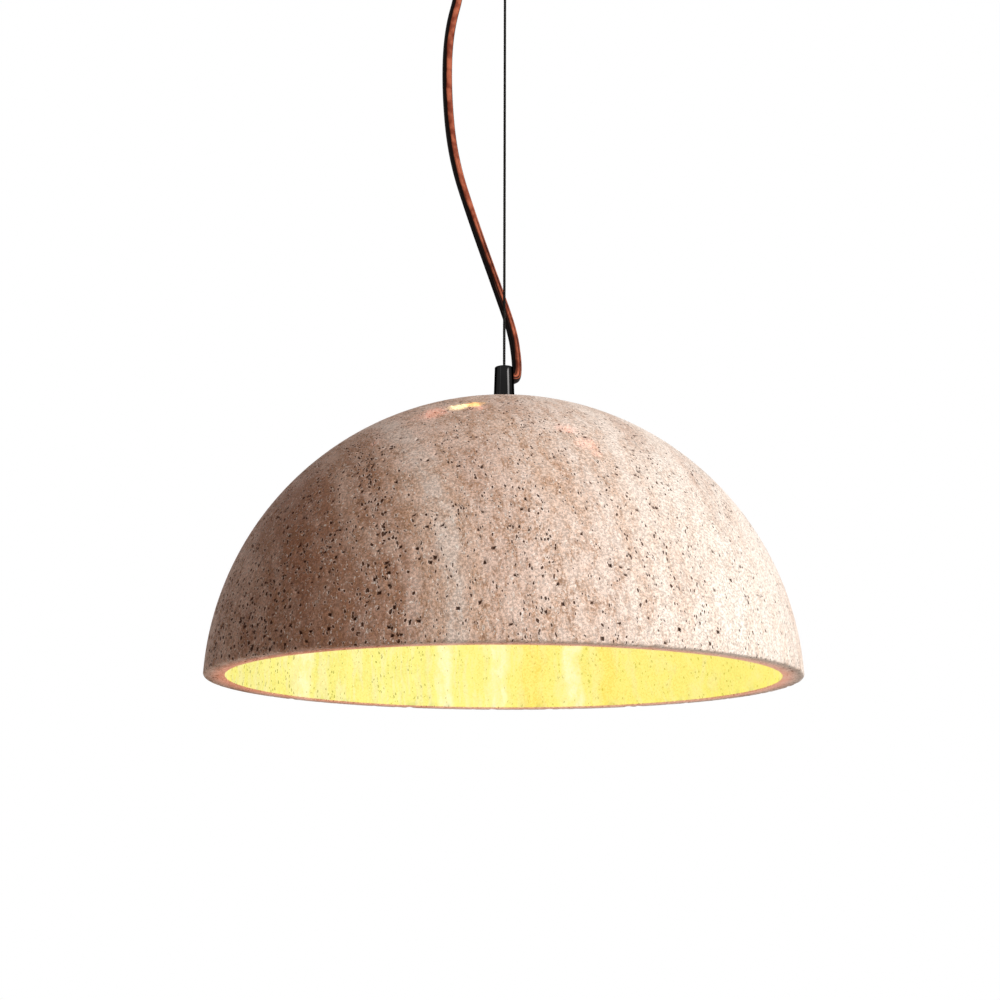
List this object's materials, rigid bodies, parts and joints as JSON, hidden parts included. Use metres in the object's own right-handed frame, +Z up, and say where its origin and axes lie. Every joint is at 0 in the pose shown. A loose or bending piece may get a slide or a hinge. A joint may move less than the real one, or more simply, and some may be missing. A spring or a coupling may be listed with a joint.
{
  "type": "travertine dome pendant light",
  "caption": "Stone dome pendant light on one steel wire, with a separate leather-clad mains cord, a screw lampholder and a ceiling rose.",
  "frame": {"origin": "middle of the ceiling face of the rose's bracket", "axes": "+Z up into the ceiling, -Y towards the viewer of the picture, +X to that viewer's right"},
  "size_m": [0.3997, 0.3997, 0.586],
  "materials": {
    "travertine": "honed, open pores",
    "black_nickel": "gloss black nickel plate",
    "bright_steel": "bright drawn",
    "zinc_steel": "zinc plated",
    "brass": "satin",
    "cap_metal": "nickel plated",
    "leather_cord": "waxed",
    "rubber": "matte",
    "black_plastic": "moulded",
    "white_plastic": "moulded",
    "porcelain": "unglazed",
    "black_glass": "gloss",
    "opal_glass": "frosted",
    "lead_brown": "insulation",
    "lead_blue": "insulation",
    "lead_green": "insulation"
  },
  "bodies": {
    "ceiling_rose": {"ceiling_bracket": "zinc_steel", "rose_nipple": "zinc_steel", "rose_nuts": "zinc_steel", "canopy_cup": "black_nickel", "cord_gland": "black_nickel", "gland_nut": "zinc_steel", "terminal_block": "white_plastic", "terminal_screws": "brass", "terminal_fixing_screw": "zinc_steel", "earth_screw": "zinc_steel", "earth_ring": "brass", "rose_lead_live": "lead_brown", "rose_lead_neutral": "lead_blue", "rose_lead_earth": "lead_green", "gripper_body": "black_nickel", "gripper_spring": "bright_steel", "wire_tail": "bright_steel", "wire_tail_stop": "bright_steel", "power_cord": "leather_cord"},
    "release_nose": {"gripper_plunger": "bright_steel", "gripper_balls": "bright_steel"},
    "pendant": {"suspension_wire": "bright_steel", "wire_ferrule": "bright_steel", "stem_fitting": "black_nickel", "fitting_grub_screw": "black_nickel", "stem_tube": "zinc_steel", "stone_shade": "travertine", "inner_gasket": "rubber", "inner_washer": "zinc_steel", "stem_nut": "zinc_steel", "stem_lead_live": "lead_brown", "stem_lead_neutral": "lead_blue", "stem_lead_earth": "lead_green", "lampholder_cap": "black_plastic", "lampholder_skirt": "black_plastic", "lampholder_insert": "porcelain", "screw_shell": "brass", "centre_contact": "brass", "holder_terminals": "brass", "holder_earth_terminal": "brass"},
    "bulb": {"bulb_cap": "cap_metal", "bulb_insulator": "black_glass", "bulb_tip": "brass", "bulb_collar": "white_plastic", "bulb_globe": "opal_glass"}
  },
  "joints": [
    {"name": "pendant_swing", "type": "hinge", "parent": "ceiling_rose", "child": "pendant", "pos_m": [0, 0, -0.058], "axis": [0, 1, 0], "range_deg": [-15, 15], "deforming": ["power_cord"]},
    {"name": "release_press", "type": "slide", "parent": "ceiling_rose", "child": "release_nose", "axis": [0, 0, 1], "range_m": [0, 0.0025], "stiffness_N_per_m": 500, "springref_m": -0.004, "deforming": ["gripper_spring"]},
    {"name": "bulb_out", "type": "slide", "parent": "pendant", "child": "bulb", "axis": [0, 0, -1], "range_m": [0, 0.03]}
  ]
}
